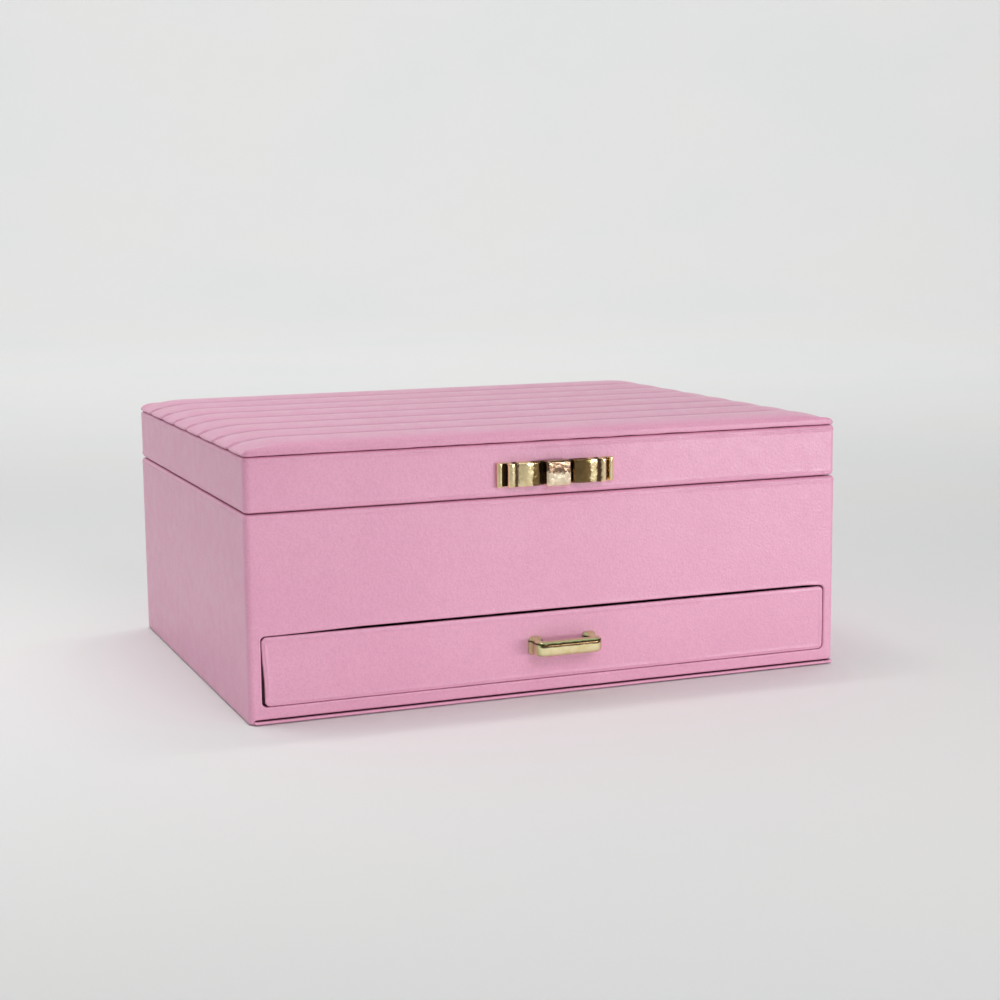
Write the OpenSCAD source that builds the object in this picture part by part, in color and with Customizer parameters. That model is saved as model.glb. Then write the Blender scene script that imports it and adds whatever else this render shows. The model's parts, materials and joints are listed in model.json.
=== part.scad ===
// Jewellery chest: a leatherette-covered case with one drawer and a hinged, quilted lid.
// Frame: millimetres, +Z up, front towards -Y, origin at the middle of the underside.

/* [Case] */
// Outside width of the case
case_w = 250; // [230:1:270]
// Outside depth of the case
case_d = 190; // [170:1:210]
// Height of the body's rim above the table
rim_z = 79.3; // [72:0.1:90]
// Height of the lid's band, from its rim to the quilted panel
band_h = 20.7; // [19:0.1:24]
// Radius of the covered vertical corners
corner_r = 2.5; // [2:0.1:4]

/* [Boards] */
// Thickness of the body's wall boards
wall_t = 4; // [3.5:0.1:4.5]
// Thickness of the lid's wall boards
lid_wall_t = 3.4; // [3:0.1:3.4]
// Thickness of the leatherette covering
wrap_t = 0.8; // [0.6:0.1:1]
// Thickness of the lining cards
liner_t = 1.2; // [1:0.1:1.5]
// Thickness of the covered dividers
divider_t = 2.4; // [2:0.1:3]

/* [Drawer] */
// Height of the drawer opening
opening_h = 27.5; // [25:0.1:28]

/* [Quilted panel] */
// Number of stuffed channels across the lid
channels = 8; // [6:1:10]
// Height of a channel's crown above its seams
channel_rise = 2.2; // [1.8:0.1:3]

/* [Fittings] */
// Width of the bow over its strap
bow_w = 49.4; // [44:0.1:54]
// Width of the drawer's bar handle
handle_w = 27; // [24:0.5:40]
// Distance of each hinge from the middle
hinge_x = 78; // [60:1:90]
// Length of a hinge
hinge_w = 26; // [22:1:32]

/* [Hidden] */
$fn = 64;

// Colours
pink = [0.88, 0.66, 0.76];
suede = [0.93, 0.86, 0.84];
board = [0.72, 0.60, 0.45];
gold = [0.83, 0.68, 0.36];
steel = [0.75, 0.75, 0.77];

// Underside, from the table up
felt_t = 0.4;
felt_inset = 5;
base_t = 2;
base_top = felt_t + base_t;
base_lip = 1;
bottom_t = 3.4;
bay_felt_t = 0.6;
bay_floor = base_top + bottom_t + bay_felt_t;

// Walls: half sizes over the covering (w), over the boards (b) and inside them (i)
half_w = case_w / 2;
half_d = case_d / 2;
half_bw = half_w - wrap_t;
half_bd = half_d - wrap_t;
half_iw = half_bw - wall_t;
half_id = half_bd - wall_t;
board_top = rim_z - wrap_t;

// Drawer bay and the deck above it
opening_z = bay_floor + 0.1;
opening_top = opening_z + opening_h;
opening_half = half_iw + 0.1;
opening_r = 3;
deck_z = opening_top + 2.1;
deck_t = 2.5;
deck_top = deck_z + deck_t;
floor_t = 1;
floor_top = deck_top + floor_t;

// Lined upper compartment
room_w = half_iw - liner_t;
room_d = half_id - liner_t;
collar_h = 4;

// Lid
seam_gap = 0.5;
lid_z = rim_z + seam_gap;
lid_top = lid_z + band_h;
lid_board_z = lid_z + wrap_t;
lid_board_top = lid_top - wrap_t;
lid_panel_t = 3;
ceiling_z = lid_board_top - lid_panel_t;
lid_iw = half_bw - lid_wall_t;
lid_id = half_bd - lid_wall_t;
flange = 15;

// Quilted panel on the lid
pad_over = 0.4;
pad_board_t = 1.2;
pad_w = half_w + pad_over;
pad_d = half_d + pad_over;
pad_seam_z = lid_top + 3.5;
pad_crown_z = pad_seam_z + channel_rise;
roll_r = 12;
roll_drop = 3;
channel_pitch = 2 * pad_d / channels;

// Mirror in the lid
mirror_half = [90, 65];
mirror_t = 1.7;
mirror_rim = 5;
surround_t = 2.8;
surround_z = ceiling_z - surround_t;
lid_liner_t = 1.4;
lid_liner_z = rim_z + collar_h + 0.7;

// Felt blocks that the closed drawer stops against
stop_x = 90;
stop_half = 6;
stop_h = 12;
stop_gap = 0.3;

// Upper compartment's fittings
ring_wall_x = -room_w + 78;
ring_wall_y = -8;
ring_count = 7;
ring_r = 6.6;
ring_block_top = floor_top + 22.4;
ring_gap = 0.3;
ring_sink = 1.6;
right_wall_y = 20;
divider_top = rim_z - 7;

// Drawer
drawer_gap = 0.5;
front_half = opening_half - drawer_gap;
front_z = opening_z + 0.3;
front_top = opening_top - 0.8;
side_t = 3;
box_half = half_iw - 2.2;
box_back = 80;
box_z = bay_floor + 0.3;
box_top = front_top - 2.6;
drawer_floor_t = 2;
drawer_liner_t = 1;
drawer_room_w = box_half - side_t - drawer_liner_t;
drawer_room_front = -half_id + drawer_liner_t;
drawer_room_back = box_back - side_t - drawer_liner_t;
drawer_room_z = box_z + drawer_floor_t + drawer_liner_t;
drawer_wall_y = -20;
drawer_divider_top = box_top - 2;

// Hinges: 95 degree stop hinges, their pins just outside the back wall
hinge_y = half_d + 2;
hinge_z = rim_z + seam_gap / 2;
knuckle_r = 1.8;
pin_r = 0.9;
bore_r = 0.95;
leaf_t = 0.75;
leaf_clear = 0.05;
leaf_front = half_bd - 3.6;
knuckle_w = 9.6;
knuckle_gap = 0.1;
flange_h = 9;
heel_w = 9;
heel_l = 4;
heel_drop = 10.7;
seat_gap = 0.1;
pin_head_r = 1.4;
pin_head_t = 0.8;
screw_r = 0.8;
screw_slot = 0.35;
pan_r = 1.6;
pan_t = 0.8;
sink_r = 1.5;
case_screw = [8, 5.5];
case_screw_l = 4.2;
lid_screw_x = 9;
lid_screw_l = 8;
flange_y = half_d + 0.05;

// Magnets
magnet_r = 1.25;
magnet_l = 4;
magnet_x = 50;
magnet_y = -half_bd + lid_wall_t / 2;
magnet_fit = 0.05;

// Bow
bow_x = -1.5;
bow_z = lid_z + 8.6;
strap_t = 1.8;
strap_h = 9.6;
loop_h = 9.1;
loop_x = 18.9;
fold_r = 1.4;
ribbon_t = 0.8;
knot_half = 5.1;
knot_h = 10.3;
knot_t = 5.2;
knot_r = 1.2;
stud_r = 1;
stud_x = 12;
stud_l = 5;
nut_r = 3;
nut_t = 0.7;

// Bar handle
handle_x = 1.4;
handle_z = (opening_z + opening_top) / 2;
handle_reach = 9.8;
bar_t = 4.4;
bar_h = 6.1;
leg_w = 4.2;
foot = [4.8, 7.6, 1];
handle_screw_x = handle_w / 2 - leg_w / 2;
handle_screw_r = 1.2;
handle_bore_r = 1.25;
handle_corner_r = 2.6;
bar_r = 1.6;
head_r = 2.6;
head_t = 1.4;
head_slot = 0.6;
handle_bore_l = 6;
handle_screw_l = 5;

// ---- Shapes ----

// A rectangle with true arcs at its corners, centred
module rounded_rect(w, d, r) {
    square([w - 2 * r, d], center = true);
    square([w, d - 2 * r], center = true);
    for (x = [-1, 1], y = [-1, 1])
        translate([x * (w / 2 - r), y * (d / 2 - r)]) circle(r);
}

// An upright slab with rounded vertical corners, given by its half sizes
module slab(hw, hd, r, z0, z1) {
    translate([0, 0, z0]) linear_extrude(z1 - z0) rounded_rect(2 * hw, 2 * hd, r);
}

// A box given by its lowest and highest corners
module span_box(lo, hi) {
    translate(lo) cube(hi - lo);
}

// Turns an outline drawn in X and Z into a solid between two Y planes
module along_y(y0, y1) {
    translate([0, y1, 0]) rotate([90, 0, 0]) linear_extrude(y1 - y0) children();
}

// Turns an outline drawn in Y and Z into a solid between two X planes
module along_x(x0, x1) {
    translate([x0, 0, 0]) rotate([90, 0, 90]) linear_extrude(x1 - x0) children();
}

// A round bar from y0 to y1
module bar_y(x, z, r, y0, y1) {
    translate([x, y1, z]) rotate([90, 0, 0]) cylinder(r = r, h = y1 - y0);
}

module both_sides(x) {
    for (s = [-1, 1]) translate([s * x, 0, 0]) children();
}

// ---- Case ----

module base_felt() {
    color([0.45, 0.38, 0.42]) slab(half_w - felt_inset, half_d - felt_inset, corner_r, 0, felt_t);
}

// Covered board under the case, with a lip that shows at the front
module base_board() {
    color(pink)
        translate([0, -base_lip / 2, 0])
            slab(half_w, half_d + base_lip / 2, corner_r, felt_t, base_top);
}

module bottom_panel() {
    color(board)
        span_box([-half_iw, -half_id, base_top], [half_iw, half_id, base_top + bottom_t]);
}

module body_core() {
    slab(half_bw, half_bd, corner_r - wrap_t, base_top, board_top);
}

// The hole that the drawer front fills, drawn in X and Z, grown by a margin
module opening_outline(grow) {
    translate([0, (opening_z + opening_top) / 2])
        rounded_rect(2 * (opening_half + grow), opening_h + 2 * grow, opening_r + grow);
}

module magnet_pockets(z) {
    both_sides(magnet_x)
        translate([0, magnet_y, z]) cylinder(r = magnet_r + magnet_fit, h = magnet_l + 1);
}

module front_panel() {
    color(board) difference() {
        intersection() {
            body_core();
            span_box([-half_w, -half_d, 0], [half_w, -half_id, rim_z]);
        }
        along_y(-half_d - 1, -half_id + 1) opening_outline(wrap_t);
        magnet_pockets(board_top - magnet_l);
    }
}

module back_panel() {
    color(board) difference() {
        intersection() {
            body_core();
            span_box([-half_w, half_id, 0], [half_w, half_d, rim_z]);
        }
        case_screw_holes();
    }
}

module side_panel(s) {
    color(board)
        span_box([s > 0 ? half_iw : -half_bw, -half_id, base_top],
                 [s > 0 ? half_bw : -half_iw, half_id, board_top]);
}

module deck_panel() {
    color(board) span_box([-half_iw, -half_id, deck_z], [half_iw, half_id, deck_top]);
}

// Leatherette over all four walls, turned over the rim and into the drawer opening
module case_wrap() {
    color(pink) difference() {
        slab(half_w, half_d, corner_r, base_top, rim_z);
        difference() {
            slab(half_bw, half_bd, corner_r - wrap_t, base_top - 1, board_top);
            along_y(-half_d, -half_id) opening_outline(wrap_t);
        }
        span_box([-half_iw, -half_id, base_top - 1], [half_iw, half_id, rim_z + 1]);
        along_y(-half_d - 1, -half_id + 1) opening_outline(0);
        case_leaf_seats();
        case_screw_holes();
    }
}

module bay_felt() {
    color(suede)
        span_box([-half_iw, -half_id, base_top + bottom_t], [half_iw, half_id, bay_floor]);
}

// Felt blocks at the back of the bay that the closed drawer stops against
module drawer_stops() {
    color(suede)
        both_sides(stop_x)
            span_box([-stop_half, box_back + stop_gap, bay_floor],
                     [stop_half, half_id, bay_floor + stop_h]);
}

// ---- Lined upper compartment ----

module end_liner(s) {
    color(suede)
        span_box([-half_iw, s > 0 ? room_d : -half_id, deck_top],
                 [half_iw, s > 0 ? half_id : -room_d, rim_z + collar_h]);
}

module side_liner(s) {
    color(suede)
        span_box([s > 0 ? room_w : -half_iw, -room_d, deck_top],
                 [s > 0 ? half_iw : -room_w, room_d, rim_z + collar_h]);
}

module floor_liner() {
    color(suede) span_box([-room_w, -room_d, deck_top], [room_w, room_d, floor_top]);
}

// Plinth that lifts the ring rolls to the rim
module ring_block() {
    color(suede)
        span_box([-room_w, ring_wall_y + divider_t, floor_top],
                 [ring_wall_x, room_d, ring_block_top]);
}

// Soft rolls that hold rings between them, flat where they rest on the plinth
module ring_rolls() {
    front = ring_wall_y + divider_t;
    pitch = (room_d - front) / ring_count;
    color(suede)
        for (i = [0 : ring_count - 1])
            intersection() {
                translate([-room_w + ring_gap, front + (i + 0.5) * pitch,
                           ring_block_top + ring_r - ring_sink])
                    rotate([0, 90, 0])
                        cylinder(r = ring_r, h = ring_wall_x + room_w - 2 * ring_gap);
                span_box([-half_w, -half_d, ring_block_top], [half_w, half_d, lid_top]);
            }
}

module long_divider() {
    color(suede)
        span_box([ring_wall_x, -room_d, floor_top], [ring_wall_x + divider_t, room_d, divider_top]);
}

module left_cross_divider() {
    color(suede)
        span_box([-room_w, ring_wall_y, floor_top],
                 [ring_wall_x, ring_wall_y + divider_t, divider_top]);
}

module right_cross_divider() {
    color(suede)
        span_box([ring_wall_x + divider_t, right_wall_y, floor_top],
                 [room_w, right_wall_y + divider_t, divider_top]);
}

// Two dividers behind the right cross divider and one in front of it
module short_dividers() {
    left = ring_wall_x + divider_t;
    width = room_w - left;
    color(suede) {
        for (i = [1, 2])
            span_box([left + width * i / 3 - divider_t / 2, right_wall_y + divider_t, floor_top],
                     [left + width * i / 3 + divider_t / 2, room_d, divider_top]);
        span_box([left + width / 2 - divider_t / 2, -room_d, floor_top],
                 [left + width / 2 + divider_t / 2, right_wall_y, divider_top]);
    }
}

module case_magnets() {
    color(steel)
        both_sides(magnet_x)
            translate([0, magnet_y, board_top - magnet_l])
                cylinder(r = magnet_r, h = magnet_l);
}

// ---- Hinges ----

module knuckle(x0, x1) {
    along_x(x0, x1) translate([hinge_y, hinge_z]) circle(knuckle_r);
}

module pin_bore(w) {
    along_x(-w, w) translate([hinge_y, hinge_z]) circle(bore_r);
}

module case_leaf_seats() {
    both_sides(hinge_x)
        span_box([-hinge_w / 2 - seat_gap, leaf_front - seat_gap,
                  hinge_z - leaf_clear - leaf_t - 0.05],
                 [hinge_w / 2 + seat_gap, half_d + 1, rim_z + 1]);
}

module lid_leaf_seats() {
    both_sides(hinge_x)
        span_box([-hinge_w / 2 - seat_gap, leaf_front - seat_gap, lid_z - 1],
                 [hinge_w / 2 + seat_gap, half_d + 1, hinge_z + leaf_clear + leaf_t + 0.05]);
}

// Leaf let into the body's rim, bent down over the back of the wall
module case_hinge_leaf() {
    color(gold) difference() {
        union() {
            span_box([-hinge_w / 2, leaf_front, hinge_z - leaf_clear - leaf_t],
                     [hinge_w / 2, hinge_y, hinge_z - leaf_clear]);
            span_box([-hinge_w / 2, flange_y, hinge_z - flange_h],
                     [hinge_w / 2, flange_y + leaf_t, hinge_z - leaf_clear]);
            knuckle(-hinge_w / 2, -knuckle_w / 2 - knuckle_gap);
            knuckle(knuckle_w / 2 + knuckle_gap, hinge_w / 2);
        }
        pin_bore(hinge_w);
        knuckle_relief();
        flange_screw_holes();
    }
}

// Room for the lid leaf's knuckle to turn between the case leaf's knuckles
module knuckle_relief() {
    along_x(-knuckle_w / 2 - knuckle_gap, knuckle_w / 2 + knuckle_gap)
        translate([hinge_y, hinge_z]) circle(knuckle_r + knuckle_gap);
}

// Room for the case leaf's knuckles, on either side of the lid leaf's knuckle
module outer_knuckle_relief() {
    near = knuckle_w / 2 + knuckle_gap;
    for (x0 = [-hinge_w, near])
        along_x(x0, x0 + hinge_w - near)
            translate([hinge_y, hinge_z]) circle(knuckle_r + knuckle_gap);
}

// Leaf let into the lid's rim, with a heel that meets the flange when the lid is open
module lid_hinge_leaf() {
    color(gold) difference() {
        union() {
            difference() {
                span_box([-hinge_w / 2, leaf_front, hinge_z + leaf_clear],
                         [hinge_w / 2, hinge_y, hinge_z + leaf_clear + leaf_t]);
                outer_knuckle_relief();
            }
            knuckle(-knuckle_w / 2, knuckle_w / 2);
            translate([0, hinge_y, hinge_z]) rotate([-heel_drop, 0, 0])
                span_box([-heel_w / 2, 0, 0], [heel_w / 2, heel_l, leaf_t]);
        }
        pin_bore(hinge_w);
        lid_screw_sinks();
    }
}

module hinge_pin() {
    color(gold) {
        reach = hinge_w / 2 + knuckle_gap;
        along_x(-reach, reach) translate([hinge_y, hinge_z]) circle(pin_r);
        for (x = [-reach - pin_head_t, reach])
            along_x(x, x + pin_head_t) translate([hinge_y, hinge_z]) circle(pin_head_r);
    }
}

module flange_screw_holes() {
    both_sides(case_screw[0])
        bar_y(0, hinge_z - case_screw[1], screw_r + 0.1, half_d, half_d + 2);
}

module case_screw_holes() {
    both_sides(hinge_x) both_sides(case_screw[0])
        bar_y(0, hinge_z - case_screw[1], screw_r + 0.05, half_d - case_screw_l - 0.3, half_d + 1);
}

// Pan-head screws through the flanges into the back board
module case_hinge_screws() {
    face = flange_y + leaf_t;
    color(gold)
        both_sides(hinge_x) both_sides(case_screw[0]) difference() {
            union() {
                bar_y(0, hinge_z - case_screw[1], screw_r, half_d - case_screw_l, face + pan_t / 2);
                bar_y(0, hinge_z - case_screw[1], pan_r, face, face + pan_t);
            }
            for (a = [0, 90])
                translate([0, face + pan_t, hinge_z - case_screw[1]]) rotate([0, a, 0])
                    cube([1.25 * pan_r, pan_t, screw_slot], center = true);
        }
}

module lid_screw_sinks() {
    both_sides(lid_screw_x)
        translate([0, half_bd - lid_wall_t / 2, hinge_z + leaf_clear - 0.01])
            cylinder(r1 = sink_r, r2 = screw_r, h = leaf_t + 0.02);
}

module lid_screw_holes() {
    both_sides(hinge_x) both_sides(lid_screw_x)
        translate([0, half_bd - lid_wall_t / 2, lid_z - 0.5]) cylinder(r = screw_r, h = lid_screw_l + 1);
}

// Countersunk screws up through the lid leaves into the lid's back board
module lid_hinge_screws() {
    color(gold)
        both_sides(hinge_x) both_sides(lid_screw_x)
            translate([0, half_bd - lid_wall_t / 2, hinge_z + leaf_clear]) difference() {
                union() {
                    cylinder(r1 = sink_r - 0.05, r2 = screw_r - 0.05, h = leaf_t);
                    cylinder(r = screw_r - 0.05, h = lid_screw_l);
                }
                for (a = [0, 90]) rotate([0, 0, a]) cube([1.2 * sink_r, screw_slot, 0.6], center = true);
            }
}

// ---- Lid ----

module lid_core(z0, z1) {
    slab(half_bw, half_bd, corner_r - wrap_t, z0, z1);
}

module lid_front_board() {
    color(board) difference() {
        intersection() {
            lid_core(lid_board_z, ceiling_z);
            span_box([-half_w, -half_d, 0], [half_w, -lid_id, lid_top]);
        }
        stud_holes(-half_d - 1, -lid_id + 1);
        magnet_pockets(lid_board_z - 1);
    }
}

module lid_back_board() {
    color(board) difference() {
        intersection() {
            lid_core(lid_board_z, ceiling_z);
            span_box([-half_w, lid_id, 0], [half_w, half_d, lid_top]);
        }
        lid_screw_holes();
    }
}

module lid_side_board(s) {
    color(board)
        span_box([s > 0 ? lid_iw : -half_bw, -lid_id, lid_board_z],
                 [s > 0 ? half_bw : -lid_iw, lid_id, ceiling_z]);
}

module lid_top_board() {
    color(board) lid_core(ceiling_z, lid_board_top);
}

// Leatherette round the lid's band, turned under its rim and over its top
module lid_wrap() {
    color(pink) difference() {
        slab(half_w, half_d, corner_r, lid_z, lid_top);
        lid_core(lid_board_z, lid_board_top);
        span_box([-lid_iw, -lid_id, lid_z - 1], [lid_iw, lid_id, lid_board_z + 1]);
        span_box([-half_w + flange, -half_d + flange, lid_board_top - 1],
                 [half_w - flange, half_d - flange, lid_top + 1]);
        stud_holes(-half_d - 1, -half_bd + 1);
        lid_leaf_seats();
        lid_screw_holes();
    }
}

module pad_board() {
    color(board)
        slab(pad_w - wrap_t, pad_d - wrap_t, corner_r - wrap_t,
             lid_top + wrap_t, lid_top + wrap_t + pad_board_t);
}

// Stuffed channels side by side, drawn in Y and Z, each an arc between two seams
module channel_outline(drop) {
    half = channel_pitch / 2;
    arc_r = (half * half + channel_rise * channel_rise) / (2 * channel_rise);
    for (i = [0 : channels - 1])
        translate([-pad_d + (i + 0.5) * channel_pitch, pad_crown_z - arc_r]) circle(arc_r - drop);
}

// The panel's rise from its two rolled ends, drawn in X and Z
module roll_outline(drop) {
    reach = sqrt(roll_r * roll_r - (roll_r - roll_drop) * (roll_r - roll_drop));
    for (s = [-1, 1]) translate([s * (pad_w - reach), pad_crown_z - roll_r]) circle(roll_r - drop);
    translate([-pad_w + reach, lid_top]) square([2 * (pad_w - reach), pad_crown_z - drop - lid_top]);
}

// The stuffed panel, shrunk by a drop on every outer face
module quilt(drop, foot_z) {
    intersection() {
        slab(pad_w - drop, pad_d - drop, corner_r - drop, foot_z, pad_crown_z);
        along_x(-pad_w, pad_w) channel_outline(drop);
        along_y(-pad_d, pad_d) roll_outline(drop);
    }
}

module pad_foam() {
    color([0.95, 0.93, 0.85]) quilt(wrap_t, lid_top + wrap_t + pad_board_t);
}

// Leatherette over the foam, turned in under the panel's board
module quilted_cover() {
    color(pink) difference() {
        quilt(0, lid_top);
        quilt(wrap_t, lid_top + wrap_t + pad_board_t);
        slab(pad_w - wrap_t, pad_d - wrap_t, corner_r - wrap_t,
             lid_top + wrap_t, lid_top + wrap_t + pad_board_t);
        slab(pad_w - flange, pad_d - flange, corner_r, lid_top - 1, lid_top + wrap_t + 0.5);
    }
}

// Lining strips on the lid's four walls
module lid_liner() {
    color(suede) difference() {
        span_box([-lid_iw, -lid_id, lid_liner_z], [lid_iw, lid_id, surround_z]);
        span_box([-lid_iw + lid_liner_t, -lid_id + lid_liner_t, lid_liner_z - 1],
                 [lid_iw - lid_liner_t, lid_id - lid_liner_t, surround_z + 1]);
        translate([bow_x, 0, 0])
            both_sides(stud_x) bar_y(0, bow_z, nut_r + 0.2, -lid_id - 1, -lid_id + 1);
    }
}

// Covered panel under the lid's top board, with a window and a seat for the mirror
module mirror_surround() {
    color(suede) difference() {
        span_box([-lid_iw, -lid_id, surround_z], [lid_iw, lid_id, ceiling_z]);
        span_box([-mirror_half[0] + mirror_rim, -mirror_half[1] + mirror_rim, surround_z - 1],
                 [mirror_half[0] - mirror_rim, mirror_half[1] - mirror_rim, ceiling_z + 1]);
        span_box([-mirror_half[0] - 0.2, -mirror_half[1] - 0.2, ceiling_z - mirror_t - 0.1],
                 [mirror_half[0] + 0.2, mirror_half[1] + 0.2, ceiling_z + 1]);
    }
}

module mirror_pane() {
    color([0.85, 0.88, 0.9])
        span_box([-mirror_half[0], -mirror_half[1], ceiling_z - mirror_t],
                 [mirror_half[0], mirror_half[1], ceiling_z]);
}

module lid_magnets() {
    color(steel)
        both_sides(magnet_x)
            translate([0, magnet_y, lid_board_z]) cylinder(r = magnet_r, h = magnet_l);
}

// ---- Bow on the lid's band ----

// Height of a loop's front above the band at a share t of the way from knot to fold
function loop_front(t) = strap_t + fold_r * 2 - 1.6 * (1 - t * t);

// One hollow loop of ribbon, drawn in X and in height above the band
module loop_outline() {
    steps = 12;
    fold_p = strap_t + fold_r;
    difference() {
        union() {
            polygon(concat(
                [[0, strap_t - 0.2]],
                [for (i = [0 : steps]) [loop_x * i / steps, loop_front(i / steps)]],
                [[loop_x, strap_t - 0.2]]));
            translate([loop_x, fold_p]) circle(fold_r);
        }
        polygon(concat(
            [for (i = [6 : steps]) [loop_x * i / steps, loop_front(i / steps) - ribbon_t]],
            [[loop_x, strap_t + 0.5], [loop_x * 0.5, strap_t + 0.5]]));
        translate([loop_x, fold_p]) circle(fold_r - ribbon_t);
    }
}

// Stands an outline drawn in X and height off the band's face up along Z
module on_band(h) {
    translate([0, -half_d, bow_z - h / 2])
        linear_extrude(h) mirror([0, 1]) children();
}

module stud_holes(y0, y1) {
    translate([bow_x, 0, 0]) both_sides(stud_x) bar_y(0, bow_z, stud_r + 0.05, y0, y1);
}

// One casting: a strap with rounded ends, two hollow loops, a knot and two studs
module bow_ornament() {
    end_r = strap_t / 2;
    color(gold) translate([bow_x, 0, 0]) {
        on_band(strap_h) {
            translate([-bow_w / 2 + end_r, 0]) square([bow_w - 2 * end_r, strap_t]);
            for (s = [-1, 1]) translate([s * (bow_w / 2 - end_r), end_r]) circle(end_r);
        }
        for (s = [0, 1]) mirror([s, 0, 0]) on_band(loop_h) loop_outline();
        intersection() {
            on_band(knot_h)
                translate([0, knot_t / 2]) rounded_rect(2 * knot_half, knot_t, knot_r);
            along_x(-knot_half, knot_half)
                translate([-half_d - knot_t / 2, bow_z]) rounded_rect(knot_t, knot_h, knot_r);
        }
        both_sides(stud_x) bar_y(0, bow_z, stud_r, -half_d - 0.5, -half_d + stud_l);
    }
}

module bow_push_nuts() {
    color(steel)
        translate([bow_x, 0, 0]) both_sides(stud_x) difference() {
            bar_y(0, bow_z, nut_r, -lid_id, -lid_id + nut_t);
            bar_y(0, bow_z, stud_r, -lid_id - 1, -lid_id + 1);
        }
}

// ---- Drawer ----

module front_outline(inset) {
    translate([0, (front_z + front_top) / 2])
        rounded_rect(2 * (front_half - inset), front_top - front_z - 2 * inset, opening_r - inset);
}

module drawer_front_board() {
    color(board) difference() {
        along_y(-half_bd, -half_id) front_outline(wrap_t);
        translate([handle_x, 0, 0]) both_sides(handle_screw_x) {
            bar_y(0, handle_z, handle_screw_r + 0.1, -half_d, -half_id + 1);
            bar_y(0, handle_z, head_r + 0.2, -half_id - head_t - 0.1, -half_id + 1);
        }
    }
}

module drawer_front_wrap() {
    color(pink) difference() {
        along_y(-half_d, -half_id) front_outline(0);
        along_y(-half_bd, -half_id + 1) front_outline(wrap_t);
        translate([handle_x, 0, 0]) both_sides(handle_screw_x)
            bar_y(0, handle_z, handle_screw_r + 0.1, -half_d - 1, -half_bd + 1);
    }
}

module drawer_side(s) {
    color(board)
        span_box([s > 0 ? box_half - side_t : -box_half, -half_id, box_z + drawer_floor_t],
                 [s > 0 ? box_half : -box_half + side_t, box_back, box_top]);
}

module drawer_back() {
    color(board)
        span_box([-box_half + side_t, box_back - side_t, box_z + drawer_floor_t],
                 [box_half - side_t, box_back, box_top]);
}

module drawer_bottom() {
    color(board)
        span_box([-box_half, -half_id, box_z], [box_half, box_back, box_z + drawer_floor_t]);
}

module drawer_liner() {
    color(suede) difference() {
        span_box([-box_half + side_t, -half_id, box_z + drawer_floor_t],
                 [box_half - side_t, box_back - side_t, box_top - 0.5]);
        span_box([-drawer_room_w, drawer_room_front, drawer_room_z],
                 [drawer_room_w, drawer_room_back, box_top + 1]);
    }
}

module drawer_long_divider() {
    color(suede)
        span_box([-drawer_room_w, drawer_wall_y, drawer_room_z],
                 [drawer_room_w, drawer_wall_y + divider_t, drawer_divider_top]);
}

// Two dividers in front of the long one and one behind it
module drawer_short_dividers() {
    color(suede) {
        for (s = [-1, 1])
            span_box([s * drawer_room_w / 3 - divider_t / 2, drawer_room_front, drawer_room_z],
                     [s * drawer_room_w / 3 + divider_t / 2, drawer_wall_y, drawer_divider_top]);
        span_box([-divider_t / 2, drawer_wall_y + divider_t, drawer_room_z],
                 [divider_t / 2, drawer_room_back, drawer_divider_top]);
    }
}

// Bar handle: a bridge with rounded edges on two feet, bored for its screws
module drawer_handle() {
    out = -half_d - handle_reach;
    color(gold) translate([handle_x, 0, 0]) difference() {
        union() {
            intersection() {
                translate([0, 0, handle_z - bar_h / 2]) linear_extrude(bar_h) difference() {
                    translate([0, (out - half_d) / 2 + 2])
                        rounded_rect(handle_w, handle_reach + 4, handle_corner_r);
                    translate([0, out + bar_t + 10])
                        rounded_rect(handle_w - 2 * leg_w, 20, 1.2);
                    translate([-handle_w, -half_d]) square([2 * handle_w, 10]);
                }
                along_x(-handle_w, handle_w)
                    translate([out + 10, handle_z]) rounded_rect(20, bar_h, bar_r);
            }
            both_sides(handle_screw_x)
                along_y(-half_d - foot[2], -half_d)
                    translate([0, handle_z]) rounded_rect(foot[0], foot[1], bar_r);
        }
        both_sides(handle_screw_x)
            bar_y(0, handle_z, handle_bore_r, -half_d - handle_bore_l, -half_d + 1);
    }
}

module handle_screws() {
    color(steel)
        translate([handle_x, 0, 0]) both_sides(handle_screw_x) {
            bar_y(0, handle_z, handle_screw_r, -half_d - handle_screw_l, -half_id - head_t);
            difference() {
                bar_y(0, handle_z, head_r, -half_id - head_t, -half_id);
                for (a = [0, 90])
                    translate([0, -half_id, handle_z]) rotate([0, a, 0])
                        cube([1.25 * head_r, head_t, head_slot], center = true);
            }
        }
}

base_felt();
base_board();
bottom_panel();
front_panel();
back_panel();
side_panel(-1);  // left_panel
side_panel(1);  // right_panel
deck_panel();
case_wrap();
bay_felt();
drawer_stops();
end_liner(-1);  // front_liner
end_liner(1);  // back_liner
side_liner(-1);  // left_liner
side_liner(1);  // right_liner
floor_liner();
ring_block();
ring_rolls();
long_divider();
left_cross_divider();
right_cross_divider();
short_dividers();
case_magnets();
translate([-hinge_x, 0, 0]) case_hinge_leaf();  // left_case_hinge_leaf
translate([hinge_x, 0, 0]) case_hinge_leaf();  // right_case_hinge_leaf
translate([-hinge_x, 0, 0]) hinge_pin();  // left_hinge_pin
translate([hinge_x, 0, 0]) hinge_pin();  // right_hinge_pin
case_hinge_screws();
lid_front_board();
lid_back_board();
lid_side_board(-1);  // lid_left_board
lid_side_board(1);  // lid_right_board
lid_top_board();
lid_wrap();
pad_board();
pad_foam();
quilted_cover();
lid_liner();
mirror_surround();
mirror_pane();  // mirror
bow_ornament();
bow_push_nuts();
lid_magnets();
translate([-hinge_x, 0, 0]) lid_hinge_leaf();  // left_lid_hinge_leaf
translate([hinge_x, 0, 0]) lid_hinge_leaf();  // right_lid_hinge_leaf
lid_hinge_screws();
drawer_front_board();
drawer_front_wrap();
drawer_side(-1);  // drawer_left_side
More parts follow.
